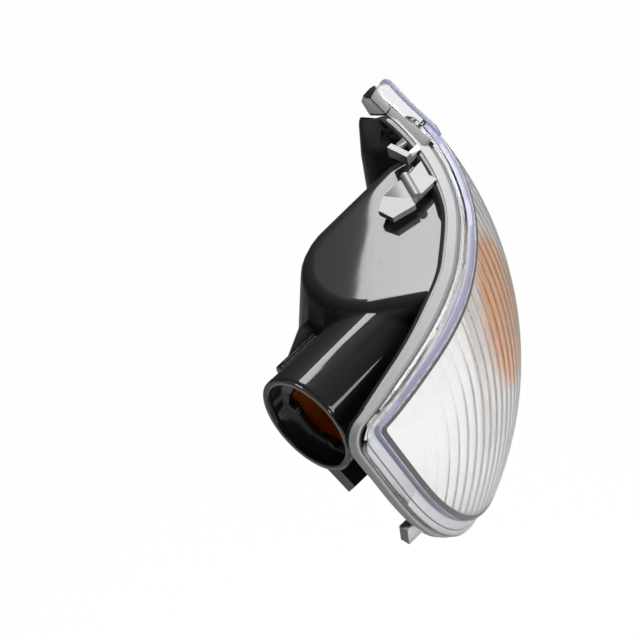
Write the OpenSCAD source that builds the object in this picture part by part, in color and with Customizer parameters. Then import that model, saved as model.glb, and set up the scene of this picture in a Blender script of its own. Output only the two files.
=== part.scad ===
// Side repeater lamp for the corner of a car or van, without its bulb.
// A clear fluted lens sits in the metallised rim of a reflector, and a black
// moulded housing behind it carries the chamber and the round bulb socket.
// Millimetres. X runs along the lens, the lens faces -Y, Z is up.
// The origin is the centre of the bulb seat inside the socket.

/* [Lens surface] */
// Distance from the crown of the lens to the axis that its surface turns about
crown_radius = 97.2; // [92:0.1:105]
// Place of the crown along that axis
crown_x = 30; // [26:0.5:34]
// Radius of the lens surface along its length, on the long side
sweep_long = 112; // [104:1:130]
// Radius of the lens surface along its length, on the short side
sweep_short = 98; // [92:1:108]
// Wall of the lens
lens_wall = 2.4; // [1.8:0.1:2.8]

/* [Lens flutes] */
// Distance from one flute to the next
flute_pitch = 4.6; // [3.5:0.1:8]
// Depth that each flute is cut into the back of the lens
flute_depth = 0.55; // [0.2:0.05:0.9]

/* [Rim outline] */
// Radius of the top edge
top_radius = 800; // [600:10:1200]
// Height of the top edge at the middle of the lamp
top_height = 49; // [46:0.5:52]
// Slope of the top edge at the middle of the lamp, in degrees
top_slope = 20.5; // [18:0.5:23]
// Radius of the lower edge
low_radius = 73.6; // [70:0.2:78]
// Lowest point of the rim
low_height = -37.5; // [-40:0.5:-34]
// Radius of the outer end
end_radius = 123; // [110:1:150]
// Furthest reach of the outer end
end_reach = 73.5; // [72:0.5:76]
// Radius of the inner corner of the rim
inner_corner = 7; // [6:0.5:9]
// Radius of the upper corner of the rim
upper_corner = 7; // [6:0.5:9]
// Radius of the lower corner of the rim
lower_corner = 16; // [12:0.5:20]

/* [Rim layers] */
// Height of the clear step from the border flange up to the lens
step_height = 3; // [2.5:0.1:4]
// Thickness of the border flange
flange_wall = 1.6; // [1:0.1:2.2]
// Width of the border flange along the lower edge and the outer end
flange_width = 4; // [3:0.1:5]
// Width of the border flange along the top edge
flange_width_top = 1; // [0.8:0.1:2]
// Thickness of the sealing bead under the flange
seal_thickness = 0.6; // [0.3:0.1:1]
// Width of the metallised rim strip, seen from the front
strip_width = 1.2; // [0.8:0.1:1.8]
// Height of the metallised rim strip, seen from the side
strip_height = 3.4; // [2.6:0.1:4]
// Sideways lean of the rim: shift along the lamp for each millimetre of depth
rim_lean = 0.6; // [0.3:0.05:0.8]
// Thickness of the reflector
reflector_wall = 1.4; // [1:0.1:2]
// Clearance between mouldings that slide together
fit_gap = 0.2; // [0.1:0.05:0.3]

/* [Rim ear] */
// Length of the ear that carries the rim past its upper corner
ear_length = 17.5; // [15:0.5:20]
// Depth of the ear at its tip
ear_depth = 6.4; // [4:0.2:8]
// Height of the clear wall that runs along the ear
ear_wall_height = 5.2; // [4:0.2:6]
// Width of the two fine gaps across the strip
gap_width = 0.5; // [0.3:0.1:0.8]

/* [Housing] */
// Wall of the housing
housing_wall = 2; // [1.6:0.1:2.6]
// Radius of the bulb chamber
chamber_radius = 23; // [21:0.5:26]
// Rounding of the edge of the chamber's roof
roof_rounding = 5; // [4:0.5:5.5]
// Height of the chamber's roof at its centre
roof_height = 40.5; // [39:0.5:42]
// Depth of the chamber below its roof
chamber_depth = 55; // [53:1:58]

/* [Bulb socket] */
// Outside diameter of the socket collar
collar_diameter = 31; // [29.6:0.2:33]
// Wall of the socket collar
collar_wall = 1.8; // [1.4:0.1:2.4]
// Depth of the bulb seat below the mouth of the collar
seat_depth = 4.6; // [3:0.1:7]
// Thickness of the bulb seat
seat_wall = 2.4; // [1.6:0.1:3.2]
// Diameter of the hole in the bulb seat
seat_hole = 19.6; // [17:0.2:21]
// Width of the three key slots of the bulb seat
key_width = 4.4; // [3:0.2:6]
// Reach of the key slots beyond the hole
key_reach = 1.5; // [1:0.1:2]

/* [Amber cap] */
// Length of the amber cap over the bulb
cap_length = 46; // [38:1:48]
// Wall of the amber cap
cap_wall = 1.5; // [1.1:0.1:2]

/* [Clips] */
// Width of the long snap clip
clip_width = 8.4; // [7:0.2:10]
// Reach of the long snap clip behind the rim
clip_reach = 18.8; // [16:0.2:21]
// Radius of the ridge that snaps behind the panel
ridge_radius = 1.4; // [1:0.1:1.8]
// Thickness of the clips
clip_wall = 1.8; // [1.2:0.1:2.2]
// Width of the short hook clip
hook_width = 7.2; // [6:0.2:9]
// Reach of the short hook clip behind the rim
hook_reach = 6; // [5:0.5:8]
// Width of the lower locating tab
tab_width = 5.6; // [4:0.2:8]
// Reach of the lower locating tab behind the rim
tab_reach = 4; // [3.5:0.5:6]

/* [Hidden] */
$fn = 96;
// Longer than any cut through the lamp
far = 130;

// The rim outline, seen from the front as [x, z]
top_centre = [crown_x + top_radius * sin(top_slope), top_height - top_radius * cos(top_slope)];
low_centre = [26, low_height + low_radius];
end_centre = [end_reach - end_radius, 56.5];

// Depths of the rim layers below the lens surface
flange_front = step_height;
flange_back = flange_front + flange_wall;
plate_front = flange_back + seal_thickness;
plate_back = plate_front + reflector_wall;
flange_edge = strip_width + fit_gap;
step_front = 0.4;
step_low = strip_width + flange_width;
step_top = strip_width + flange_width_top;

// Where the ear leaves the rim's top edge, how far it runs back along the rim,
// and its small shift and turns away from the rim there
ear_x = 64;
ear_root = 8;
ear_shift = [-1.1, 0.27, -2.25];
ear_lift = 0.8;
ear_swing = 2.9;
ear_roll = 1;

// Bevels at the ear's tip, front and back, and the length over which it deepens
ear_bevel = 1;
ear_back_bevel = 2;
ear_taper = 7;
// The ear's clear wall: how far its foot runs down to the flange, its height at the root,
// and the fall and length of its sloping end
ear_wall_foot = 0.5;
ear_wall_root = 2.2;
ear_wall_fall = 1.3;
ear_wall_slope = 2.5;
// The fine gaps across the strip: places along the ear's frame, and depth
gap_places = [6.65, -10.5];
gap_depth = 0.7;

// The lobe behind the upper corner, as balls: how far each lies in from the outer end, below the
// top edge and behind the rim, and its radius
lobe_balls = [[7.5, 10.5, 10.3, 6], [3.1, 5.7, 4.7, 4.5], [13.5, 37.5, 21.6, 6]];

// The bulb chamber and its sloping roof
chamber_place = [22, -60];
roof_tilt = 22.5;
roof_turn = 151;
chamber_throw = 30;
wing_place = [49, -64];
wing_radius = 11;
wing_floor = 12;

// The socket, whose own Z axis points out of its mouth, and the seat's depth behind the crown
seat_behind = 48.3;
seat_place = [-12.8, seat_behind - crown_radius, 7.3];
socket_tilt = 111.4;
socket_turn = 145.1;
socket_spin = 44.7;
collar_bore = collar_diameter - 2 * collar_wall;
collar_root = 36;
key_turn = 100;
// The locating lug beside the socket's mouth
lug_reach = 5.5;
lug_width = 5;
lug_height = 9.5;
lug_place = -9;
// The side fin of the collar and the round boss at its foot
fin_reach = 4.9;
fin_wall = 2.4;
fin_length = 22;
fin_bevel = 9;
boss_radius = 2.5;
boss_place = -8;
boss_length = 22;
side_drop = 5;

// Places round the rim where the clips stand, as x and the height of the rim there
clip_x = 46;
hook_x = 57;
hook_shift = -1.5;
tab_x = -21;
// How far the clips' roots run forward from the rim's back, and their notches back from it
clip_root = 3;
clip_notch = 5.5;
hook_notch = 5;
tab_notch = 1.5;
// The snap clip's barb, the cut corner of its tongue and the place of its ridge
barb_place = 11;
barb_reach = 1.4;
barb_slope = 0.6;
corner_cut = [2.5, 5];
ridge_place = 9.2;
// The hook clip's prongs and the bar that joins them
prong_width = 2;
bar_height = 1.8;
bar_rise = 1.6;
// Thickness of the lower locating tab
tab_wall = 3;
// Turns of the clips about the direction in which the lamp is pushed home
clip_spin = 263;
tab_spin = -12.4;
clip_shear = 0.534;

// Height of the rim's top edge at x, and of its lower edge
function rim_top(x) = top_centre[1] + sqrt(top_radius * top_radius - pow(x - top_centre[0], 2));
function rim_low(x) = low_centre[1] - sqrt(low_radius * low_radius - pow(x - low_centre[0], 2));

// Distance of the lens surface from its axis at x
function lens_reach(x) =
    let (sweep = x < crown_x ? sweep_long : sweep_short)
    crown_radius - sweep + sqrt(sweep * sweep - pow(x - crown_x, 2));

// The point of the rim's back edge at x and height z
function rim_back(x, z) = [x, -sqrt(pow(lens_reach(x + rim_lean * plate_back) - plate_back, 2) - z * z), z];

// Unit vector
function unit(v) = v / norm(v);

// Direction of the rim's top edge at x, and the direction out of the lens there
function rim_way(x) = unit(rim_back(x + 1, rim_top(x + 1)) - rim_back(x - 1, rim_top(x - 1)));
function rim_out(x) = unit(cross(rim_way(x), rim_back(x, rim_top(x) + 1) - rim_back(x, rim_top(x) - 1)));

// Where the two circles [centre, radius] meet, on one side of the line from the first to the second
function meet(a, ra, b, rb, side) =
    let (d = norm(b - a), u = (b - a) / d, along = (ra * ra - rb * rb + d * d) / (2 * d))
    a + along * u + side * sqrt(ra * ra - along * along) * [-u[1], u[0]];

// Height of the roof plane above a point of the plan
function roof_z(p) =
    let (q = p - chamber_place)
    roof_height - tan(roof_tilt) * (cos(roof_turn) * q[0] + sin(roof_turn) * q[1]);

// The bit of a corner that lies outside its rounding, whose circle crosses both edges at a slight angle
module corner_trim(a, ra, b, rb, rounding, side) {
    cross = 0.03;
    cover = 1.1;
    k = meet(a, ra - rounding + cross, b, rb - rounding + cross, side);
    ta = rounding * (k - a) / norm(k - a);
    tb = rounding * (k - b) / norm(k - b);
    mid = ta + tb;
    difference() {
        polygon([k, k + cover * ta, k + cover * mid * rounding * rounding / (ta * mid), k + cover * tb]);
        translate(k) circle(rounding);
    }
}

// The outline of the rim, moved in by one amount at the top and another round the rest
module rim_outline(in_top, in_low) {
    rt = top_radius - in_top;
    rl = low_radius - in_low;
    re = end_radius - in_low;
    most = max(in_top, in_low);
    difference() {
        intersection() {
            translate(top_centre) circle(rt, $fn = 720);
            translate(low_centre) circle(rl, $fn = 180);
            translate(end_centre) circle(re, $fn = 240);
        }
        corner_trim(top_centre, rt, low_centre, rl, max(inner_corner - most, 1), 1);
        corner_trim(top_centre, rt, end_centre, re, max(upper_corner - most, 1), -1);
        corner_trim(low_centre, rl, end_centre, re, max(lower_corner - most, 1), 1);
    }
}

// The outline as a prism that runs back through the whole lamp
module rim_prism(in_top, in_low) {
    rotate([90, 0, 0]) linear_extrude(height = far) rim_outline(in_top, in_low);
}

// Half section of the lens surface, moved in by a depth
module lens_profile(depth) {
    intersection() {
        translate([crown_radius - sweep_long, crown_x]) circle(sweep_long - depth, $fn = 180);
        translate([0, crown_x - far]) square([far, far]);
    }
    intersection() {
        translate([crown_radius - sweep_short, crown_x]) circle(sweep_short - depth, $fn = 180);
        translate([0, crown_x]) square([far, far]);
    }
}

// Everything that lies behind the lens surface, moved in by a depth
module behind_lens(depth) {
    translate([-rim_lean * depth, 0, 0])
        rotate([0, 90, 0])
        rotate([0, 0, 180])
        rotate_extrude(angle = 180)
        lens_profile(depth);
}

// A layer that follows the lens, between two depths
module layer(front, back) {
    difference() {
        behind_lens(front);
        behind_lens(back);
    }
}

// The hollow of the lens, with a round flute every pitch
module lens_hollow() {
    flute_radius = (flute_pitch * flute_pitch / 4 + flute_depth * flute_depth) / (2 * flute_depth);
    first = ceil((-50 - crown_x) / flute_pitch);
    last = floor((end_reach - crown_x) / flute_pitch);
    rotate([0, 90, 0]) rotate([0, 0, 180]) rotate_extrude(angle = 180) {
        lens_profile(lens_wall);
        for (k = [first:last]) {
            sweep = k < 0 ? sweep_long : sweep_short;
            turn = asin(k * flute_pitch / sweep);
            out = sweep - lens_wall + flute_depth - flute_radius;
            translate([crown_radius - sweep + out * cos(turn), crown_x + out * sin(turn)])
                circle(flute_radius, $fn = 48);
        }
    }
}

// The ear's own frame: X points out of the rim, Y out of the lens and Z along the ear
module on_ear() {
    way = rim_way(ear_x);
    out = rim_out(ear_x);
    tilt = acos(way[2]) - ear_lift;
    turn = atan2(way[1], way[0]) - ear_swing;
    across = [cos(tilt) * cos(turn), cos(tilt) * sin(turn), -sin(tilt)];
    level = [-sin(turn), cos(turn), 0];
    translate(rim_back(ear_x, rim_top(ear_x)))
        rotate([0, tilt, turn])
        rotate([0, 0, atan2(-out * across, out * level) + ear_roll])
        translate(ear_shift + [0, plate_back, 0])
        children();
}

// The metallised side of the ear, deeper towards its tip
module ear_strip() {
    back = -plate_back;
    top = strip_height - plate_back;
    on_ear() rotate([0, -90, 0]) linear_extrude(height = strip_width) polygon([
        [-ear_root, back], [-ear_root, top],
        [ear_length - ear_bevel, top], [ear_length, top - ear_bevel],
        [ear_length, top - ear_depth + ear_back_bevel], [ear_length - ear_back_bevel, top - ear_depth],
        [ear_length - ear_taper, back]
    ]);
}

// The clear wall inside it
module ear_wall() {
    base = strip_height - plate_back;
    foot = base - ear_wall_foot;
    top = base + ear_wall_height;
    on_ear() rotate([0, -90, 0]) translate([0, 0, flange_edge]) linear_extrude(height = lens_wall) polygon([
        [-ear_root, foot], [ear_length, base], [ear_length, top - ear_wall_fall],
        [ear_length - ear_wall_slope, top], [-ear_root, base + ear_wall_root]
    ]);
}

// Fine gaps across the strip, at the ear's middle and at its root
module strip_gaps() {
    over = 3;
    for (along = gap_places)
        on_ear()
            translate([-gap_depth, -plate_back - over, along])
            cube([gap_depth + over, strip_height + 2 * over, gap_width]);
}

module lens_cover() {
    color("WhiteSmoke", 0.45) {
        difference() {
            ear_wall();
            behind_lens(flange_back);
            intersection() {
                layer(plate_back - strip_height - fit_gap, plate_back);
                difference() {
                    rim_prism(0, 0);
                    rim_prism(flange_edge, flange_edge);
                }
            }
        }
        difference() {
            intersection() {
                behind_lens(0);
                rim_prism(step_top, step_low);
            }
            lens_hollow();
        }
        intersection() {
            layer(step_front, flange_back);
            difference() {
                rim_prism(step_top, step_low);
                rim_prism(step_top + lens_wall, step_low + lens_wall);
            }
        }
        intersection() {
            layer(flange_front, flange_back);
            difference() {
                rim_prism(flange_edge, flange_edge);
                rim_prism(step_top + lens_wall, step_low + lens_wall);
            }
        }
    }
}

module seal_bead() {
    color("DimGray") intersection() {
        layer(flange_back, plate_front);
        difference() {
            rim_prism(flange_edge + fit_gap, flange_edge + fit_gap);
            rim_prism(step_top + lens_wall - fit_gap, step_low + lens_wall - fit_gap);
        }
    }
}

// The bulb chamber, with a round left side, a narrow wing and a roof that slopes; open towards the lens
module chamber_form(inset) {
    round_left = max(roof_rounding - inset, 0.4);
    floor_z = roof_height - chamber_depth + inset;
    hull() {
        for (throw = [0, chamber_throw]) {
            main = chamber_place - [0, throw];
            wing = wing_place - [0, throw];
            translate([main[0], main[1], roof_z(main)])
                rotate([0, roof_tilt, roof_turn])
                translate([0, 0, -roof_rounding])
                rotate_extrude($fn = 40)
                translate([chamber_radius - roof_rounding, 0])
                circle(round_left, $fn = 16);
            translate([wing[0], wing[1], roof_z(wing)])
                rotate([0, roof_tilt, roof_turn])
                translate([0, 0, -roof_rounding])
                rotate_extrude($fn = 24)
                translate([wing_radius - roof_rounding, 0])
                circle(round_left, $fn = 16);
            translate([main[0], main[1], floor_z]) cylinder(r = chamber_radius - inset, h = 1, $fn = 40);
            translate([wing[0], wing[1], floor_z + wing_floor])
                cylinder(r = wing_radius - inset, h = 1, $fn = 24);
        }
    }
}

// The shallow lobe behind the upper corner
module lobe_form(inset) {
    hull() {
        for (ball = lobe_balls, throw = [0, chamber_throw]) {
            x = end_reach - ball[0];
            translate(rim_back(x, rim_top(x) - ball[1]) + [0, ball[2] - throw, 0])
                sphere(ball[3] - inset, $fn = 24);
        }
    }
}

module in_socket() {
    translate(seat_place) rotate([0, socket_tilt, socket_turn]) rotate([0, 0, socket_spin]) children();
}

// Everything that the socket leaves open, from its mouth into the chamber
module socket_hollow() {
    cylinder(d = collar_bore, h = far);
    translate([0, 0, -seat_wall - 1]) cylinder(d = seat_hole, h = seat_wall + 2);
    for (turn = [0, 120, 240])
        rotate([0, 0, turn + key_turn])
        translate([0, -key_width / 2, -seat_wall - 1])
        cube([seat_hole / 2 + key_reach, key_width, seat_wall + 2]);
    over = 4;
    translate([0, 0, -collar_root - over]) cylinder(d = collar_bore, h = collar_root + over - seat_wall);
}

module socket_body() {
    side = collar_diameter / 2;
    root = 4.5;
    boss_sink = 1;
    fin_top = -side_drop - 3;
    translate([0, 0, -collar_root]) cylinder(r = side, h = collar_root + seat_depth);
    translate([side - root, lug_place, seat_depth - lug_height])
        cube([root + lug_reach, lug_width, lug_height]);
    translate([boss_sink - side, boss_place, -side_drop - boss_length])
        cylinder(r = boss_radius, h = boss_length);
    translate([0, boss_place + fin_wall / 2, 0])
        rotate([90, 0, 0])
        linear_extrude(height = fin_wall)
        polygon([
            [root - side, fin_top], [-side - boss_sink, fin_top - 1],
            [-side - fin_reach, fin_top - fin_bevel - 1],
            [-side - fin_reach, fin_top - fin_length], [root - side, fin_top - fin_length]
        ]);
}

module housing() {
    color([0.12, 0.12, 0.13]) difference() {
        union() {
            intersection() {
                layer(plate_back, plate_back + housing_wall);
                rim_prism(strip_width, strip_width);
            }
            intersection() {
                behind_lens(plate_back);
                rim_prism(strip_width, strip_width);
                union() {
                    chamber_form(0);
                    lobe_form(0);
                }
            }
            difference() {
                in_socket() socket_body();
                chamber_form(housing_wall);
            }
        }
        intersection() {
            rim_prism(strip_width + housing_wall, strip_width + housing_wall);
            union() {
                chamber_form(housing_wall);
                lobe_form(housing_wall);
            }
        }
        in_socket() socket_hollow();
        clip_roots(fit_gap);
    }
}

// The space in front of the reflector's plate
module ahead_of_plate() {
    difference() {
        translate([-far, -far, -far]) cube(2 * far);
        behind_lens(plate_front);
    }
}

// A frame on the rim whose Z axis points the way the lamp is pushed home
module on_rim(place, spin) {
    translate(place) rotate([0, socket_tilt, socket_turn]) rotate([0, 0, spin]) children();
}

// The root of each clip, grown by a clearance for the notch that it stands in
module clip_roots(grow) {
    half = clip_width / 2;
    on_rim(rim_back(clip_x, rim_top(clip_x)), clip_spin)
        translate([-half - grow, -grow, -clip_root])
        cube([clip_width + 2 * grow, clip_wall + 2 * grow, clip_root + clip_notch]);
    on_rim(rim_back(hook_x, rim_top(hook_x)), clip_spin)
        translate([hook_shift - hook_width / 2 - grow, -grow, -clip_root])
        cube([hook_width + 2 * grow, clip_wall + 2 * grow, clip_root + hook_notch]);
    on_rim(rim_back(tab_x, rim_low(tab_x)), tab_spin)
        translate([-tab_width / 2 - grow, -tab_wall - grow, -clip_root])
        cube([tab_width + 2 * grow, tab_wall + 2 * grow, clip_root + tab_notch]);
}

// The long clip: a plate, a ridge across it and a tongue with cut corners
module snap_clip() {
    half = clip_width / 2;
    on_rim(rim_back(clip_x, rim_top(clip_x)), clip_spin) {
        rotate([-90, 0, 0]) linear_extrude(height = clip_wall)
            polygon([
                [half, clip_root], [-half, clip_root], [-half, -barb_place],
                [-half - barb_reach, -barb_place - barb_slope], [-half + barb_slope, -clip_reach],
                [half - corner_cut[0], -clip_reach], [half, -clip_reach + corner_cut[1]]
            ]);
        translate([-half, 0, ridge_place])
            rotate([0, 90 + atan(clip_shear), 0])
            cylinder(r = ridge_radius, h = clip_width / cos(atan(clip_shear)));
    }
}

// The short clip: two prongs joined by a raised bar
module hook_clip() {
    half = hook_width / 2;
    on_rim(rim_back(hook_x, rim_top(hook_x)), clip_spin) translate([hook_shift, 0, 0]) {
        for (side = [-half, half - prong_width])
            translate([side, 0, -clip_root]) cube([prong_width, clip_wall, hook_reach + clip_root]);
        translate([-half, -bar_rise, hook_reach - bar_height])
            cube([hook_width, clip_wall + bar_rise, bar_height]);
    }
}

module locating_tab() {
    on_rim(rim_back(tab_x, rim_low(tab_x)), tab_spin)
        translate([-tab_width / 2, -tab_wall, -clip_root])
        cube([tab_width, tab_wall, tab_reach + clip_root]);
}

module reflector() {
    lining = housing_wall + fit_gap;
    color("Silver") {
        difference() {
            union() {
                intersection() {
                    layer(plate_back - strip_height, plate_back);
                    difference() {
                        rim_prism(0, 0);
                        rim_prism(strip_width, strip_width);
                    }
                }
                ear_strip();
            }
            strip_gaps();
        }
        difference() {
            intersection() {
                layer(plate_front, plate_back);
                rim_prism(0, 0);
            }
            chamber_form(lining + reflector_wall);
        }
        difference() {
            intersection() {
                behind_lens(plate_front);
                rim_prism(strip_width + housing_wall + fit_gap, strip_width + housing_wall + fit_gap);
                difference() {
                    chamber_form(lining);
                    chamber_form(lining + reflector_wall);
                }
            }
            in_socket() socket_hollow();
        }
        difference() {
            union() {
                snap_clip();
                hook_clip();
                locating_tab();
            }
            ahead_of_plate();
        }
    }
}

module amber_cap() {
    cap_radius = collar_bore / 2 - fit_gap;
    color("DarkOrange", 0.8) in_socket() translate([0, 0, -seat_wall]) mirror([0, 0, 1])
        rotate_extrude() difference() {
            intersection() {
                union() {
                    square([cap_radius, cap_length - cap_radius]);
                    translate([0, cap_length - cap_radius]) circle(cap_radius);
                }
                square([cap_radius, cap_length]);
            }
            translate([0, -1]) square([cap_radius - cap_wall, cap_length - cap_radius + 1]);
            translate([0, cap_length - cap_radius]) circle(cap_radius - cap_wall);
        }
}

// Puts the bulb seat at the origin
module placed() {
    translate(-seat_place) children();
}

placed() lens_cover();
placed() seal_bead();
placed() reflector();
placed() amber_cap();
placed() housing();
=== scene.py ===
import math

import bpy
from mathutils import Matrix, Vector


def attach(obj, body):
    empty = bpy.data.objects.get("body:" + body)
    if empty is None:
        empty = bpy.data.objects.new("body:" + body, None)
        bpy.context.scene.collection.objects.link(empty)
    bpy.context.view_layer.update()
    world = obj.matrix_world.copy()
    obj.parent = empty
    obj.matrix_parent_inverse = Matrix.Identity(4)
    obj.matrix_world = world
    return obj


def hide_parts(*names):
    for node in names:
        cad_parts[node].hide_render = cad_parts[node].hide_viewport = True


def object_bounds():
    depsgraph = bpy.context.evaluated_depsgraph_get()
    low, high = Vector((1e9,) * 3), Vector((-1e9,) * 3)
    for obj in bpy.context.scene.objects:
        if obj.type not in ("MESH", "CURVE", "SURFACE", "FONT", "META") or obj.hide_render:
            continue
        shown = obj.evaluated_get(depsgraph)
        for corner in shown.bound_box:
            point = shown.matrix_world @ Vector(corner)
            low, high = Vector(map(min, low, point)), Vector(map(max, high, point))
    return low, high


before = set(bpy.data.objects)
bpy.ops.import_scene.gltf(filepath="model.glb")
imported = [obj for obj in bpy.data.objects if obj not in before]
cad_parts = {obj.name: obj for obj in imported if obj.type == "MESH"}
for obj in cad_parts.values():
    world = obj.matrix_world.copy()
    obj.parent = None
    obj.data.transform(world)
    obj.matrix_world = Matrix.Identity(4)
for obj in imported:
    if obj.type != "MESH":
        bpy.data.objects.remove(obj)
cad_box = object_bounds()
bpy.ops.object.select_all(action="DESELECT")
mm = 0.001

# The camera looks along the lamp from its inner end, from above and a little to the front.
# It stands far off with a long lens, which keeps the edges of the rim nearly parallel.
azimuth = math.radians(-80.7)
elevation = math.radians(24.7)
aim = Vector((0.0214, 0.0029, 0.0181))
camera_distance = 2.2
field_width = 0.173
sensor = 36.0

to_camera = Vector((
    math.sin(azimuth) * math.cos(elevation),
    -math.cos(azimuth) * math.cos(elevation),
    math.sin(elevation),
))
camera_place = aim + to_camera * camera_distance
bpy.ops.object.camera_add(
    location=camera_place,
    rotation=(-to_camera).to_track_quat("-Z", "Y").to_euler(),
)
camera = bpy.context.object
camera.name = "camera"
camera.data.sensor_width = sensor
camera.data.lens = sensor * camera_distance / field_width
camera.data.clip_end = 20
bpy.context.scene.camera = camera
bpy.context.scene.view_settings.view_transform = "Standard"


# The floor is a wide sheet of white card well below the lamp.
# The camera and glass see it white, and it still takes a faint shadow.
floor_drop = 0.12
floor_size = 12.0
card_white = (0.86, 0.86, 0.86, 1)
shadow_share = 0.05

bpy.ops.mesh.primitive_plane_add(size=floor_size, location=(0, 0, cad_box[0][2] - floor_drop))
floor = bpy.context.object
floor.name = "floor"
card = bpy.data.materials.new("white_card")
card.use_nodes = True
nodes = card.node_tree.nodes
links = card.node_tree.links
surface = nodes["Principled BSDF"]
surface.inputs["Base Color"].default_value = card_white
surface.inputs["Roughness"].default_value = 0.9
path = nodes.new("ShaderNodeLightPath")
glow = nodes.new("ShaderNodeEmission")
glow.inputs["Color"].default_value = (1, 1, 1, 1)
glow.inputs["Strength"].default_value = 1.03
seen_glass = nodes.new("ShaderNodeMath")
seen_glass.operation = "MAXIMUM"
share = nodes.new("ShaderNodeMath")
share.operation = "MULTIPLY"
share.inputs[1].default_value = 1 - shadow_share
blend = nodes.new("ShaderNodeMixShader")
links.new(path.outputs["Is Camera Ray"], seen_glass.inputs[0])
links.new(path.outputs["Is Transmission Ray"], seen_glass.inputs[1])
links.new(seen_glass.outputs[0], share.inputs[0])
links.new(share.outputs[0], blend.inputs[0])
links.new(surface.outputs[0], blend.inputs[1])
links.new(glow.outputs[0], blend.inputs[2])
links.new(blend.outputs[0], nodes["Material Output"].inputs["Surface"])
floor.data.materials.append(card)


# The room is a soft grey tent that is brightest in front of the lens and dimmer overhead.
# The camera sees it white. A small softbox above and behind is mirrored in the chamber's roof,
# where the edge of its picture divides the roof into a light and a dark half.
tent_grey = 0.58
tent_bright = 1.05
front_start = 0.2
front_full = -0.8
overhead_start = 0.5
overhead_full = 0.75
overhead_share = 0.3
roof_edge = Vector((0.03435, -0.00595, 0.0320))
roof_line = Vector((0.9118, 0.1493, 0.3003))
roof_normal = Vector((-0.3347, 0.1855, 0.9239))
mirror_way = Vector((0.4555, 0.3913, 0.7998))
box_distance = 0.26
box_width = 0.15
box_length = 0.20
box_power = 0.8

world = bpy.data.worlds.new("tent")
bpy.context.scene.world = world
world.use_nodes = True
nodes = world.node_tree.nodes
links = world.node_tree.links
ground = nodes["Background"]
where = nodes.new("ShaderNodeTexCoord")
split = nodes.new("ShaderNodeSeparateXYZ")
front = nodes.new("ShaderNodeMapRange")
front.inputs["From Min"].default_value = front_start
front.inputs["From Max"].default_value = front_full
front.inputs["To Min"].default_value = tent_grey
front.inputs["To Max"].default_value = tent_bright
overhead = nodes.new("ShaderNodeMapRange")
overhead.inputs["From Min"].default_value = overhead_start
overhead.inputs["From Max"].default_value = overhead_full
overhead.inputs["To Min"].default_value = 1.0
overhead.inputs["To Max"].default_value = overhead_share
dimmed = nodes.new("ShaderNodeMath")
dimmed.operation = "MULTIPLY"
path = nodes.new("ShaderNodeLightPath")
level = nodes.new("ShaderNodeMix")
level.inputs["B"].default_value = 1.0
links.new(where.outputs["Generated"], split.inputs[0])
links.new(split.outputs["Y"], front.inputs["Value"])
links.new(split.outputs["Z"], overhead.inputs["Value"])
links.new(front.outputs[0], dimmed.inputs[0])
links.new(overhead.outputs[0], dimmed.inputs[1])
links.new(dimmed.outputs[0], level.inputs["A"])
links.new(path.outputs["Is Camera Ray"], level.inputs["Factor"])
links.new(level.outputs["Result"], ground.inputs["Strength"])


def softbox(name, place, target, width, height, power):
    turn = (target - place).to_track_quat("-Z", "Y").to_euler()
    bpy.ops.object.light_add(type="AREA", location=place, rotation=turn)
    lamp = bpy.context.object
    lamp.name = name
    lamp.data.shape = "RECTANGLE"
    lamp.data.size = width
    lamp.data.size_y = height
    lamp.data.energy = power
    return lamp


side = roof_line.cross(mirror_way).normalized()
along_box = mirror_way.cross(side).normalized()
roof_light = softbox("roof_softbox", Vector(), Vector((0, 0, -1)), box_width, box_length, box_power)
roof_light.rotation_euler = Matrix((side, along_box, mirror_way)).transposed().to_euler()
roof_light.location = roof_edge + mirror_way * box_distance + side * box_width / 2
softbox("front_softbox", Vector((-0.5, -0.9, 0.5)), aim, width=0.7, height=0.7, power=9)


# A faint waviness from the mould serves three finishes, each at its own scale.
# The group puts out a height, and each material turns it into a bump of its own strength.
waviness = bpy.data.node_groups.new("mould_waviness", "ShaderNodeTree")
scale = waviness.interface.new_socket("Scale", in_out="INPUT", socket_type="NodeSocketFloat")
scale.default_value = 60.0
waviness.interface.new_socket("Height", in_out="OUTPUT", socket_type="NodeSocketFloat")
nodes = waviness.nodes
links = waviness.links
entry = nodes.new("NodeGroupInput")
result = nodes.new("NodeGroupOutput")
coord = nodes.new("ShaderNodeTexCoord")
wave = nodes.new("ShaderNodeTexNoise")
wave.inputs["Detail"].default_value = 2
links.new(coord.outputs["Object"], wave.inputs["Vector"])
links.new(entry.outputs["Scale"], wave.inputs["Scale"])
links.new(wave.outputs["Fac"], result.inputs["Height"])


def wavy(material, wave_scale, strength):
    nodes = material.node_tree.nodes
    links = material.node_tree.links
    swell = nodes.new("ShaderNodeGroup")
    swell.node_tree = waviness
    swell.inputs["Scale"].default_value = wave_scale
    bump = nodes.new("ShaderNodeBump")
    bump.inputs["Strength"].default_value = strength
    bump.inputs["Distance"].default_value = 0.0003
    links.new(swell.outputs["Height"], bump.inputs["Height"])
    links.new(bump.outputs["Normal"], nodes["Principled BSDF"].inputs["Normal"])
    return bump


# Every finish starts as a plain material with its colour, roughness and share of metal.
def finish_of(name, colour, rough, metal=0.0):
    made = bpy.data.materials.new(name)
    made.use_nodes = True
    shader = made.node_tree.nodes["Principled BSDF"]
    shader.inputs["Base Color"].default_value = (*colour, 1)
    shader.inputs["Roughness"].default_value = rough
    shader.inputs["Metallic"].default_value = metal
    return made


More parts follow.
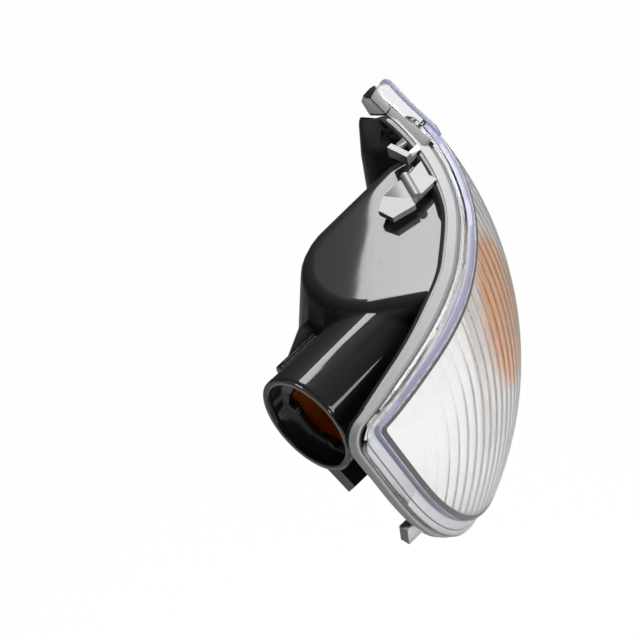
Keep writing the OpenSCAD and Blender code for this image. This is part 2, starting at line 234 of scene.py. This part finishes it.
# A moulding starts as a copy of its solid, whose corners are merged so that curves shade smoothly.
def moulding(node, name, smooth_angle):
    bpy.ops.object.select_all(action="DESELECT")
    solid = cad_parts[node]
    piece = solid.copy()
    piece.data = solid.data.copy()
    piece.name = name
    bpy.context.collection.objects.link(piece)
    piece.hide_render = False
    piece.hide_viewport = False
    bpy.context.view_layer.objects.active = piece
    piece.select_set(True)
    bpy.ops.object.mode_set(mode="EDIT")
    bpy.ops.mesh.select_all(action="SELECT")
    bpy.ops.mesh.remove_doubles(threshold=0.00001)
    bpy.ops.object.mode_set(mode="OBJECT")
    bpy.ops.object.shade_smooth_by_angle(angle=math.radians(smooth_angle))
    bpy.ops.object.modifier_add(type="WEIGHTED_NORMAL")
    piece.modifiers["WeightedNormal"].keep_sharp = True
    bpy.ops.object.modifier_apply(modifier="WeightedNormal")
    piece.data.materials.clear()
    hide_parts(node)
    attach(piece, "root")
    return piece


# The rim and the lens follow one surface, which turns about an axis along the lamp and is swept
# by an arc on each side of the crown. Three arcs with rounded corners outline it from the front.
# Sizes are in millimetres, and the bulb seat lies at seat from that axis.
seat = Vector((-12.8, -48.9, 7.3))
crown_radius = 97.2
crown_x = 30.0
sweep_long = 112.0
sweep_short = 98.0
rim_lean = 0.6
top_radius = 800.0
top_height = 49.0
top_slope = math.radians(20.5)
low_radius = 73.6
low_height = -37.5
low_x = 26.0
end_radius = 123.0
end_reach = 73.5
end_height = 56.5
inner_corner = 7.0
upper_corner = 7.0
lower_corner = 16.0
top_arc = (
    crown_x + top_radius * math.sin(top_slope),
    top_height - top_radius * math.cos(top_slope),
    top_radius,
)
low_arc = (low_x, low_height + low_radius, low_radius)
end_arc = (end_reach - end_radius, end_height, end_radius)
top_points = 170
low_points = 150
end_points = 110
inner_points = 18
upper_points = 14
lower_points = 26

# Along the top edge the layers spread apart towards the inner end and draw together towards the ear.
# Near the inner end the whole rim also lies a little further back. The spread grows with the depth
# and is as written at spread_depth, and both die away below the top edge.
spread_depth = 6.6
most_spread = 2.1
spread_middle = -16
spread_reach = 24
most_squeeze = 1.2
squeeze_start = 16
squeeze_run = 20
top_band = 12
most_back = 1.8
back_middle = -24
back_reach = 19


def spread(x):
    ease = min(max((x - squeeze_start) / squeeze_run, 0), 1)
    squeeze = most_squeeze * ease * ease * (3 - 2 * ease)
    return most_spread * math.exp(-((x - spread_middle) / spread_reach) ** 4) - squeeze


def top_share(x, z):
    below = top_arc[1] + math.sqrt(top_radius ** 2 - (x - top_arc[0]) ** 2) - z
    return math.exp(-(max(below, 0) / top_band) ** 2)


def on_surface(x, z, depth):
    share = top_share(x, z)
    depth += spread(x) * depth / spread_depth * share
    along = x + rim_lean * depth
    sweep = sweep_long if along < crown_x else sweep_short
    reach = crown_radius - sweep + math.sqrt((sweep - depth) ** 2 - (along - crown_x) ** 2)
    back = most_back * math.exp(-((x - back_middle) / back_reach) ** 2) * share
    return (Vector((x, back - math.sqrt(reach ** 2 - z ** 2), z)) - seat) * mm


# How deep a point lies under the lens surface, and how far inside the rim's outline, in millimetres.
def depth_of(point):
    place = point / mm + seat
    reach = math.hypot(place.y, place.z)
    depth = 0.0
    for _ in range(4):
        along = place.x + rim_lean * depth
        sweep = sweep_long if along < crown_x else sweep_short
        depth = sweep - math.hypot(reach - crown_radius + sweep, along - crown_x)
    return depth


def inset_of(point):
    place = point / mm + seat
    return min(r - math.hypot(place.x - cx, place.z - cz) for cx, cz, r in (top_arc, low_arc, end_arc))


# A corner's rounding lies inside both arcs, on the given side of the line through their centres.
def meet(a, b, rounding, side):
    ra = a[2] - rounding
    rb = b[2] - rounding
    dx = b[0] - a[0]
    dz = b[1] - a[1]
    d = math.hypot(dx, dz)
    ux = dx / d
    uz = dz / d
    along = (ra * ra - rb * rb + d * d) / (2 * d)
    off = side * math.sqrt(ra * ra - along * along)
    return (a[0] + along * ux - off * uz, a[1] + along * uz + off * ux, rounding)


def arc_points(arc, start, stop, count):
    first = math.atan2(start[1] - arc[1], start[0] - arc[0])
    turn = math.atan2(stop[1] - arc[1], stop[0] - arc[0]) - first
    turn = (turn + math.pi) % (2 * math.pi) - math.pi
    angles = [first + turn * k / count for k in range(count)]
    return [(arc[0] + arc[2] * math.cos(t), arc[1] + arc[2] * math.sin(t)) for t in angles]


def touch(arc, corner):
    scale = arc[2] / math.hypot(corner[0] - arc[0], corner[1] - arc[1])
    return (arc[0] + (corner[0] - arc[0]) * scale, arc[1] + (corner[1] - arc[1]) * scale)


def outline(in_top, in_low):
    most = max(in_top, in_low)
    top = (top_arc[0], top_arc[1], top_arc[2] - in_top)
    low = (low_arc[0], low_arc[1], low_arc[2] - in_low)
    end = (end_arc[0], end_arc[1], end_arc[2] - in_low)
    inner = meet(top, low, max(inner_corner - most, 1), 1)
    upper = meet(top, end, max(upper_corner - most, 1), -1)
    lower = meet(low, end, max(lower_corner - most, 1), 1)
    return (
        arc_points(top, touch(top, inner), touch(top, upper), top_points)
        + arc_points(upper, touch(top, upper), touch(end, upper), upper_points)
        + arc_points(end, touch(end, upper), touch(end, lower), end_points)
        + arc_points(lower, touch(end, lower), touch(low, lower), lower_points)
        + arc_points(low, touch(low, lower), touch(low, inner), low_points)
        + arc_points(inner, touch(low, inner), touch(top, inner), inner_points)
    )


# Rings with the same number of points are skinned into one mesh. A closed run also joins its last
# ring to its first.
def skin(name, rings, closed, smooth_angle=30):
    count = len(rings[0])
    points = [point for ring in rings for point in ring]
    faces = []
    spans = len(rings) if closed else len(rings) - 1
    for k in range(spans):
        low = k * count
        high = ((k + 1) % len(rings)) * count
        for j in range(count):
            nxt = (j + 1) % count
            faces.append((low + j, low + nxt, high + nxt, high + j))
    mesh = bpy.data.meshes.new(name)
    mesh.from_pydata(points, [], faces)
    piece = bpy.data.objects.new(name, mesh)
    bpy.context.collection.objects.link(piece)
    bpy.ops.object.select_all(action="DESELECT")
    bpy.context.view_layer.objects.active = piece
    piece.select_set(True)
    bpy.ops.object.mode_set(mode="EDIT")
    bpy.ops.mesh.select_all(action="SELECT")
    bpy.ops.mesh.remove_doubles(threshold=0.000002)
    bpy.ops.mesh.normals_make_consistent(inside=False)
    bpy.ops.object.mode_set(mode="OBJECT")
    bpy.ops.object.shade_smooth_by_angle(angle=math.radians(smooth_angle))
    return piece


# A border runs right round the rim with one section, given as its insets and depths.
def border(name, section):
    rings = []
    for in_top, in_low, depth in section:
        rings.append([on_surface(x, z, depth) for x, z in outline(in_top, in_low)])
    return skin(name, rings, closed=True)


# A finished piece gets its material and its body, and the solid that it stands for is hidden.
def finished(piece, material, node):
    piece.data.materials.append(material)
    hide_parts(node)
    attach(piece, "root")


# The housing is one black moulding: the rim plate, the bulb chamber, the lobe and the socket collar.
# Its skin is glossy, with the mould's waviness, and fine scratches that run in loose bundles dull it.
# It is a copy of its solid, with a smooth border of its own for the edge that shows round the rim.
gloss = 0.05
gloss_scratched = 0.325
plate_inset = 1.2
plate_wall = 1.2
plate_front = 6.8
plate_back = 9.2

black = finish_of("black_moulding", (0.028, 0.0285, 0.029), rough=0.42)
nodes = black.node_tree.nodes
links = black.node_tree.links
shader = nodes["Principled BSDF"]
shader.inputs["IOR"].default_value = 1.5
shader.inputs["Specular IOR Level"].default_value = 0.08
shader.inputs["Coat Weight"].default_value = 1.0
shader.inputs["Coat Roughness"].default_value = gloss
coord = nodes.new("ShaderNodeTexCoord")
turned = nodes.new("ShaderNodeMapping")
turned.inputs["Rotation"].default_value = (0.3, 0.5, 0.6)
turned.inputs["Scale"].default_value = (1.0, 9.0, 1.0)
scratch = nodes.new("ShaderNodeTexNoise")
scratch.inputs["Scale"].default_value = 420
scratch.inputs["Detail"].default_value = 3
bundle = nodes.new("ShaderNodeTexNoise")
bundle.inputs["Scale"].default_value = 55
thin = nodes.new("ShaderNodeMapRange")
thin.inputs["From Min"].default_value = 0.64
thin.inputs["From Max"].default_value = 0.70
worn = nodes.new("ShaderNodeMapRange")
worn.inputs["From Min"].default_value = 0.52
worn.inputs["From Max"].default_value = 0.66
both = nodes.new("ShaderNodeMath")
both.operation = "MULTIPLY"
rough = nodes.new("ShaderNodeMapRange")
rough.inputs["To Min"].default_value = gloss
rough.inputs["To Max"].default_value = gloss_scratched
links.new(coord.outputs["Object"], turned.inputs["Vector"])
links.new(turned.outputs["Vector"], scratch.inputs["Vector"])
links.new(coord.outputs["Object"], bundle.inputs["Vector"])
links.new(scratch.outputs["Fac"], thin.inputs["Value"])
links.new(bundle.outputs["Fac"], worn.inputs["Value"])
links.new(thin.outputs[0], both.inputs[0])
links.new(worn.outputs[0], both.inputs[1])
links.new(both.outputs[0], rough.inputs["Value"])
links.new(rough.outputs[0], shader.inputs["Coat Roughness"])
bump = wavy(black, wave_scale=45, strength=0.15)
links.new(bump.outputs["Normal"], shader.inputs["Coat Normal"])

# The wall at the edge of the copy's rim plate is moved to follow the spread layers.
housing = moulding("housing", "housing_moulding", smooth_angle=32)
for corner in housing.data.vertices:
    depth = depth_of(corner.co)
    on_edge = plate_inset < inset_of(corner.co) < plate_inset + plate_wall
    if on_edge and plate_front < depth < plate_back:
        place = corner.co / mm + seat
        corner.co = on_surface(place.x, place.z, depth)
housing.data.materials.append(black)
plate_rim = border("housing_plate_edge", [
    (0.4, 0.4, 6.5), (0.4, 0.4, 7.1), (1.0, 1.0, 8.5), (1.5, 1.5, 9.0), (3.2, 3.2, 9.0), (3.2, 3.2, 6.5),
])
finished(plate_rim, black, "housing")

# A smooth lip is turned round the mouth of the socket collar, which stands 4.6 mm out from the seat.
# Its section is given as radii and heights from the mouth.
socket_way = Vector((-0.7636, 0.5327, -0.3649)).normalized()
across = socket_way.cross(Vector((0, 0, 1))).normalized()
upward = across.cross(socket_way)
mouth = 4.6
lip_section = [(15.55, -1.6), (15.55, -0.35), (15.2, 0.03), (14.0, 0.03), (13.65, -0.3), (13.65, -1.6)]
lip_points = 160
lip_angles = [2 * math.pi * k / lip_points for k in range(lip_points)]
lip_rings = []
for radius, height in lip_section:
    middle = socket_way * (mouth + height)
    around = [across * math.cos(t) * radius + upward * math.sin(t) * radius for t in lip_angles]
    lip_rings.append([(middle + spoke) * mm for spoke in around])
lip = skin("collar_lip", lip_rings, closed=True, smooth_angle=50)
finished(lip, black, "housing")


# The reflector is a moulding with a vacuum-metallised skin, bright in the bowl and satin on the rim.
# Its strip shows round the rim, and the clips that hold the lamp stand on it. The copy of its solid
# loses the faces of the strip and the ear, and a border and the ear's own plates stand there instead.
rim_margin = 0.6
strip_inset = 1.5
strip_reach = 1.7
corner_inset = 3.6
strip_back = 7.2
clip_inset = 3.3
clip_depth = 6.9
clip_over_roof = 0.0006

# The ear's own frame: X points out of the rim, Y out of the lens and Z along the ear.
ear_spot = Vector((65.5, -62.8, 64.0))
ear_out = Vector((-0.577, 0.389, 0.718))
ear_up = Vector((0.378, -0.652, 0.657))
ear_way = Vector((0.73, 0.64, 0.24))
ear_least = (-1.7, -11.0, -9.5)
ear_most = (0.6, -2.0, 18.5)


def in_strip(point):
    place = point / mm + seat
    inset = inset_of(point)
    edge = -rim_margin < inset < strip_inset
    inner = meet(top_arc, low_arc, inner_corner, 1)
    upper = meet(top_arc, end_arc, upper_corner, -1)
    for cx, cz, rounding in (inner, upper):
        away = math.hypot(place.x - cx, place.z - cz)
        in_corner = rounding - strip_reach < away < rounding + rim_margin and inset < corner_inset
        edge = edge or in_corner
    return edge and depth_of(point) < strip_back


def in_ear(point):
    place = point / mm + seat - ear_spot
    spans = zip(ear_least, (place.dot(ear_out), place.dot(ear_up), place.dot(ear_way)), ear_most)
    return all(least < along < most for least, along, most in spans)


# Faces are picked in face mode with nothing selected before, so that no vertex of a clip goes too.
metal = finish_of("metallised_skin", (0.77, 0.77, 0.75), rough=0.35, metal=0.4)
wavy(metal, wave_scale=160, strength=0.25)
reflector = moulding("reflector", "metallised_reflector", smooth_angle=32)
bpy.ops.object.mode_set(mode="EDIT")
bpy.ops.mesh.select_mode(type="FACE")
bpy.ops.mesh.select_all(action="DESELECT")
bpy.ops.object.mode_set(mode="OBJECT")
for face in reflector.data.polygons:
    corners = [reflector.data.vertices[k].co for k in face.vertices]
    face.select = all(in_ear(place) or in_strip(place) for place in corners)
bpy.ops.object.mode_set(mode="EDIT")
bpy.ops.mesh.delete(type="FACE")
bpy.ops.mesh.select_mode(type="VERT")
bpy.ops.object.mode_set(mode="OBJECT")

# The clips take a second finish: they are what stands behind the plate, at the rim or over the roof.
chrome = finish_of("bright_metallised", (0.27, 0.275, 0.28), rough=0.35, metal=0.1)
reflector.data.materials.append(metal)
reflector.data.materials.append(chrome)
for face in reflector.data.polygons:
    above_roof = roof_normal.dot(face.center - roof_edge) > clip_over_roof
    if depth_of(face.center) > clip_depth and (inset_of(face.center) < clip_inset or above_roof):
        face.material_index = 1

satin = finish_of("satin_metallised", (0.40, 0.405, 0.405), rough=0.5, metal=0.1)
wavy(satin, wave_scale=220, strength=0.35)
strip = border("rim_strip", [
    (0.25, 0.25, 3.9), (0, 0, 4.1), (0, 0, 6.4), (0.2, 0.2, 6.6), (0.5, 0.5, 6.6), (1.2, 1.2, 6.2),
    (1.2, 1.2, 3.9),
])
finished(strip, satin, "reflector")


# The ear carries the strip straight on past the upper corner. It is two plates with a fine gap
# before each, a dark lip behind them and a deeper end whose tip is open and black.
def ear_point(x, y, z):
    return (ear_spot + ear_out * x + ear_up * y + ear_way * z - seat) * mm


# A plate of the ear is an outline given as places along and across it, with bevelled edges.
def plate_piece(name, corners, x_back, x_front, bevel):
    count = len(corners)
    points = [ear_point(x_back, y, z) for z, y in corners]
    points += [ear_point(x_front, y, z) for z, y in corners]
    faces = [tuple(range(count)), tuple(reversed(range(count, 2 * count)))]
    faces += [(j, j + count, (j + 1) % count + count, (j + 1) % count) for j in range(count)]
    mesh = bpy.data.meshes.new(name)
    mesh.from_pydata(points, [], faces)
    piece = bpy.data.objects.new(name, mesh)
    bpy.context.collection.objects.link(piece)
    bpy.ops.object.select_all(action="DESELECT")
    bpy.context.view_layer.objects.active = piece
    piece.select_set(True)
    if bevel > 0:
        bpy.ops.object.modifier_add(type="BEVEL")
        piece.modifiers["Bevel"].width = bevel * mm
        piece.modifiers["Bevel"].segments = 3
        bpy.ops.object.modifier_apply(modifier="Bevel")
    bpy.ops.object.mode_set(mode="EDIT")
    bpy.ops.mesh.select_all(action="SELECT")
    bpy.ops.mesh.normals_make_consistent(inside=False)
    bpy.ops.object.mode_set(mode="OBJECT")
    bpy.ops.object.shade_smooth_by_angle(angle=math.radians(35))
    return piece


plates = [
    [(-11.2, -1.9), (6.7, -3.8), (6.1, -6.2), (-11.2, -6.0)],
    [(7.3, -3.9), (13.0, -3.7), (15.6, -3.3), (14.6, -6.3), (6.8, -6.2)],
]
for number, plate in enumerate(plates):
    piece = plate_piece("ear_plate_%d" % number, plate, x_back=-1.2, x_front=0.0, bevel=0.15)
    finished(piece, satin, "reflector")
deep_outline = [(6.8, -6.2), (14.5, -6.3), (17.3, -7.6), (16.4, -8.8), (11.2, -9.6)]
deep_end = plate_piece("ear_deep_end", deep_outline, x_back=-1.6, x_front=-0.35, bevel=0.15)
finished(deep_end, chrome, "reflector")
tip_outline = [(15.7, -3.3), (17.0, -3.0), (17.45, -4.6), (17.3, -7.5), (14.7, -6.3)]
tip = plate_piece("ear_tip", tip_outline, x_back=-1.4, x_front=-0.1, bevel=0.15)
finished(tip, black, "housing")
dark_outline = [(-12.5, -2.3), (16.0, -4.0), (14.6, -5.9), (-12.5, -5.6)]
dark_lip = plate_piece("ear_lip", dark_outline, x_back=-1.38, x_front=-1.22, bevel=0.0)
finished(dark_lip, black, "housing")


# The amber cap is a thin translucent dome over the bulb, held in the chamber's bore behind the seat.
# It is clear enough to glow where light reaches it.
amber = finish_of("amber_plastic", (0.95, 0.36, 0.05), rough=0.3)
shader = amber.node_tree.nodes["Principled BSDF"]
shader.inputs["Transmission Weight"].default_value = 0.25
shader.inputs["IOR"].default_value = 1.49
amber_cap = moulding("amber_cap", "amber_bulb_cap", smooth_angle=40)
amber_cap.data.materials.append(amber)


# The sealing bead is a dark grey line of sealant that shows between the strip and the lens flange.
# Further in it is a pale film, which shows through the clear flange.
sealant = finish_of("sealant_grey", (0.06, 0.06, 0.065), rough=0.45)
bead = border("sealing_bead", [
    (0.6, 0.6, 3.35), (0.6, 0.6, 4.1), (1.25, 1.25, 4.1), (1.25, 1.25, 3.35),
])
finished(bead, sealant, "seal_bead")
pale = finish_of("sealant_pale", (0.5, 0.5, 0.51), rough=0.5)
film = border("sealing_film", [
    (1.3, 1.3, 3.5), (1.3, 1.3, 4.1), (3.2, 5.8, 5.15), (3.2, 5.8, 3.5),
])
finished(film, pale, "seal_bead")


# The lens is clear acrylic, polished outside, with round flutes pressed into its inner face.
# Its flange stands on the sealing bead, and a step leads from the flange up to the dome.
def clear_plastic(name, colour, rough, clearness=1.0):
    made = finish_of(name, colour, rough)
    nodes = made.node_tree.nodes
    links = made.node_tree.links
    shader = nodes["Principled BSDF"]
    shader.inputs["Transmission Weight"].default_value = clearness
    shader.inputs["IOR"].default_value = 1.49
    path = nodes.new("ShaderNodeLightPath")
    through = nodes.new("ShaderNodeBsdfTransparent")
    through.inputs["Color"].default_value = (0.93, 0.935, 0.94, 1)
    shade = nodes.new("ShaderNodeMixShader")
    links.new(path.outputs["Is Shadow Ray"], shade.inputs[0])
    links.new(shader.outputs[0], shade.inputs[1])
    links.new(through.outputs[0], shade.inputs[2])
    links.new(shade.outputs[0], nodes["Material Output"].inputs["Surface"])
    return made


step_top = 2.2
step_low = 5.2
dome_past_top = 0.9
dome_past_low = 1.4
lens_wall = 2.4
flute_pitch = 4.5
flute_depth = 0.2
flute_radius = (flute_pitch ** 2 / 4 + flute_depth ** 2) / (2 * flute_depth)
slices_per_flute = 10
rows = 56
edge_slices = (0.03, 0.12, 0.3, 0.55)
grid_margin = 0.8


def flute_rise(x):
    off = (x - crown_x + flute_pitch / 2) % flute_pitch - flute_pitch / 2
    return math.sqrt(flute_radius ** 2 - off ** 2) - (flute_radius - flute_depth)


def span_at(points, x):
    heights = []
    for (xa, za), (xb, zb) in zip(points, points[1:] + points[:1]):
        if min(xa, xb) <= x < max(xa, xb):
            heights.append(za + (zb - za) * (x - xa) / (xb - xa))
    return min(heights), max(heights)


clear_colour = (0.97, 0.975, 0.98)
# The colour of the painted amber streaks, a painted refraction of the cap seen through the flutes.
painted_amber_streak = (0.95, 0.38, 0.11)
clear = clear_plastic("clear_acrylic", clear_colour, rough=0.03, clearness=0.88)
clear_flange = clear_plastic("clear_acrylic_flange", (0.93, 0.935, 0.94), rough=0.05)

# The flutes break the view of the amber cap behind them into narrow orange streaks.
# Here the streaks are painted into the clear plastic's colour as a painted refraction of the cap,
# one streak to a flute, in an oval patch that is placed to match the photograph.
# The streaks' shift and edges are shares of the pitch.
patch_middle = (0.0408, 0, 0.0157)
patch_across = 0.020
patch_up = 0.023
streak_shift = 0.72
streak_start = 0.25
streak_full = 0.34
between_streaks = 0.12

nodes = clear.node_tree.nodes
links = clear.node_tree.links
coord = nodes.new("ShaderNodeTexCoord")
from_middle = nodes.new("ShaderNodeVectorMath")
from_middle.operation = "SUBTRACT"
from_middle.inputs[1].default_value = patch_middle
in_spans = nodes.new("ShaderNodeVectorMath")
in_spans.operation = "MULTIPLY"
in_spans.inputs[1].default_value = (1 / patch_across, 0, 1 / patch_up)
away = nodes.new("ShaderNodeVectorMath")
away.operation = "LENGTH"
in_patch = nodes.new("ShaderNodeMapRange")
in_patch.inputs["From Min"].default_value = 1.0
in_patch.inputs["From Max"].default_value = 0.8
split = nodes.new("ShaderNodeSeparateXYZ")
pitches = nodes.new("ShaderNodeMath")
pitches.operation = "MULTIPLY_ADD"
pitches.inputs[1].default_value = 1 / (flute_pitch * mm)
pitches.inputs[2].default_value = -(crown_x - seat.x) / flute_pitch + streak_shift
phase = nodes.new("ShaderNodeMath")
phase.operation = "PINGPONG"
phase.inputs[1].default_value = 0.5
streak = nodes.new("ShaderNodeMapRange")
streak.inputs["From Min"].default_value = streak_start
streak.inputs["From Max"].default_value = streak_full
streak.inputs["To Min"].default_value = between_streaks
# The share of painted amber is the oval patch times the streak of each flute.
painted_amber_share = nodes.new("ShaderNodeMath")
painted_amber_share.operation = "MULTIPLY"
tint = nodes.new("ShaderNodeMix")
tint.data_type = "RGBA"
tint.inputs["A"].default_value = (*clear_colour, 1)
tint.inputs["B"].default_value = (*painted_amber_streak, 1)
links.new(coord.outputs["Object"], from_middle.inputs[0])
links.new(from_middle.outputs["Vector"], in_spans.inputs[0])
links.new(in_spans.outputs["Vector"], away.inputs[0])
links.new(away.outputs["Value"], in_patch.inputs["Value"])
links.new(coord.outputs["Object"], split.inputs[0])
links.new(split.outputs["X"], pitches.inputs[0])
links.new(pitches.outputs[0], phase.inputs[0])
links.new(phase.outputs[0], streak.inputs["Value"])
links.new(in_patch.outputs[0], painted_amber_share.inputs[0])
links.new(streak.outputs[0], painted_amber_share.inputs[1])
links.new(painted_amber_share.outputs[0], tint.inputs["Factor"])
links.new(tint.outputs["Result"], nodes["Principled BSDF"].inputs["Base Color"])

# The dome is cut into slices along the lamp, each a loop up the outer face and down the fluted one.
dome_edge = outline(step_top + dome_past_top, step_low + dome_past_low)
left = min(x for x, z in dome_edge)
right = max(x for x, z in dome_edge)
grid_step = flute_pitch / slices_per_flute
first = math.ceil((left + grid_margin - crown_x) / grid_step)
last = math.floor((right - grid_margin - crown_x) / grid_step)
slices = [left + gap for gap in edge_slices]
slices += [crown_x + k * grid_step for k in range(first, last + 1)]
slices += [right - gap for gap in reversed(edge_slices)]
rings = []
for x in slices:
    low, high = span_at(dome_edge, x)
    heights = [low + (high - low) * j / rows for j in range(rows + 1)]
    outer = [on_surface(x, z, 0.0) for z in heights]
    inner = [on_surface(x, z, lens_wall - flute_rise(x)) for z in reversed(heights)]
    rings.append(outer + inner)
dome = skin("fluted_lens", rings, closed=False, smooth_angle=12)
bpy.ops.object.mode_set(mode="EDIT")
bpy.ops.mesh.select_all(action="DESELECT")
bpy.ops.mesh.select_non_manifold(extend=False)
bpy.ops.mesh.edge_face_add()
bpy.ops.mesh.select_all(action="SELECT")
bpy.ops.mesh.normals_make_consistent(inside=False)
bpy.ops.object.mode_set(mode="OBJECT")
finished(dome, clear, "lens_cover")

# The flange, the step and the ear's clear wall are moulded in one with the dome. Thick edges show
# a lavender tint, and a painted grey band of shade runs where the plastic turns.
edge_tint = clear_plastic("clear_acrylic_edge", (0.40, 0.40, 0.53), rough=0.25, clearness=0.4)
# Dark grey clear plastic for the painted shade band under the step. The thin flange line takes it too.
step_shade = clear_plastic("clear_acrylic_shade", (0.20, 0.20, 0.20), rough=0.25, clearness=0.5)
flange = border("lens_flange", [
    (0.65, 0.65, 1.9), (0.35, 0.35, 2.1), (0.35, 0.35, 3.1), (0.6, 0.6, 3.3),
    (4.6, 7.6, 3.3), (4.6, 7.6, 2.7), (2.3, 5.3, 2.7), (2.3, 5.3, 1.9),
])
finished(flange, clear_flange, "lens_cover")
step = border("lens_step", [
    (1.9, 4.9, 0.35), (1.7, 4.7, 0.6), (1.7, 4.7, 1.88), (2.1, 5.1, 1.88), (2.1, 5.1, 0.35),
])
finished(step, edge_tint, "lens_cover")
wall_outline = [
    (-3.5, -2.2), (1.5, -3.7), (15.5, -3.9), (17.4, -3.0), (17.4, -1.5), (16.7, -0.5), (15.3, 0.1),
    (7.3, -0.1), (-3.5, 0.4),
]
ear_wall = plate_piece("ear_wall", wall_outline, x_back=-3.6, x_front=-1.5, bevel=0.25)
finished(ear_wall, clear_flange, "lens_cover")
rail_outline = [
    (17.2, -2.0), (16.4, -0.75), (15.2, -0.25), (7.3, -0.35), (-6.5, 0.25), (-10.0, 0.1),
    (-10.0, 1.0), (-6.5, 1.6), (7.3, 1.0), (15.4, 1.1), (16.9, 0.5), (17.5, -0.5),
]
ear_rail = plate_piece("ear_rail", rail_outline, x_back=-3.9, x_front=-1.3, bevel=0.3)
finished(ear_rail, edge_tint, "lens_cover")
flange_line = border("lens_flange_line", [
    (1.5, 2.6, 3.25), (1.5, 2.6, 3.32), (1.6, 2.9, 3.32), (1.6, 2.9, 3.25),
])
finished(flange_line, step_shade, "lens_cover")
# The painted shade band is a dark grey ring just under the step, standing in for the shade where the
# plastic turns.
painted_shade_band = border("lens_step_painted_shade", [
    (2.25, 5.25, 0.0), (2.25, 5.25, 0.3), (3.1, 6.6, 0.3), (3.1, 6.6, 0.0),
])
finished(painted_shade_band, step_shade, "lens_cover")


bpy.context.view_layer.update()
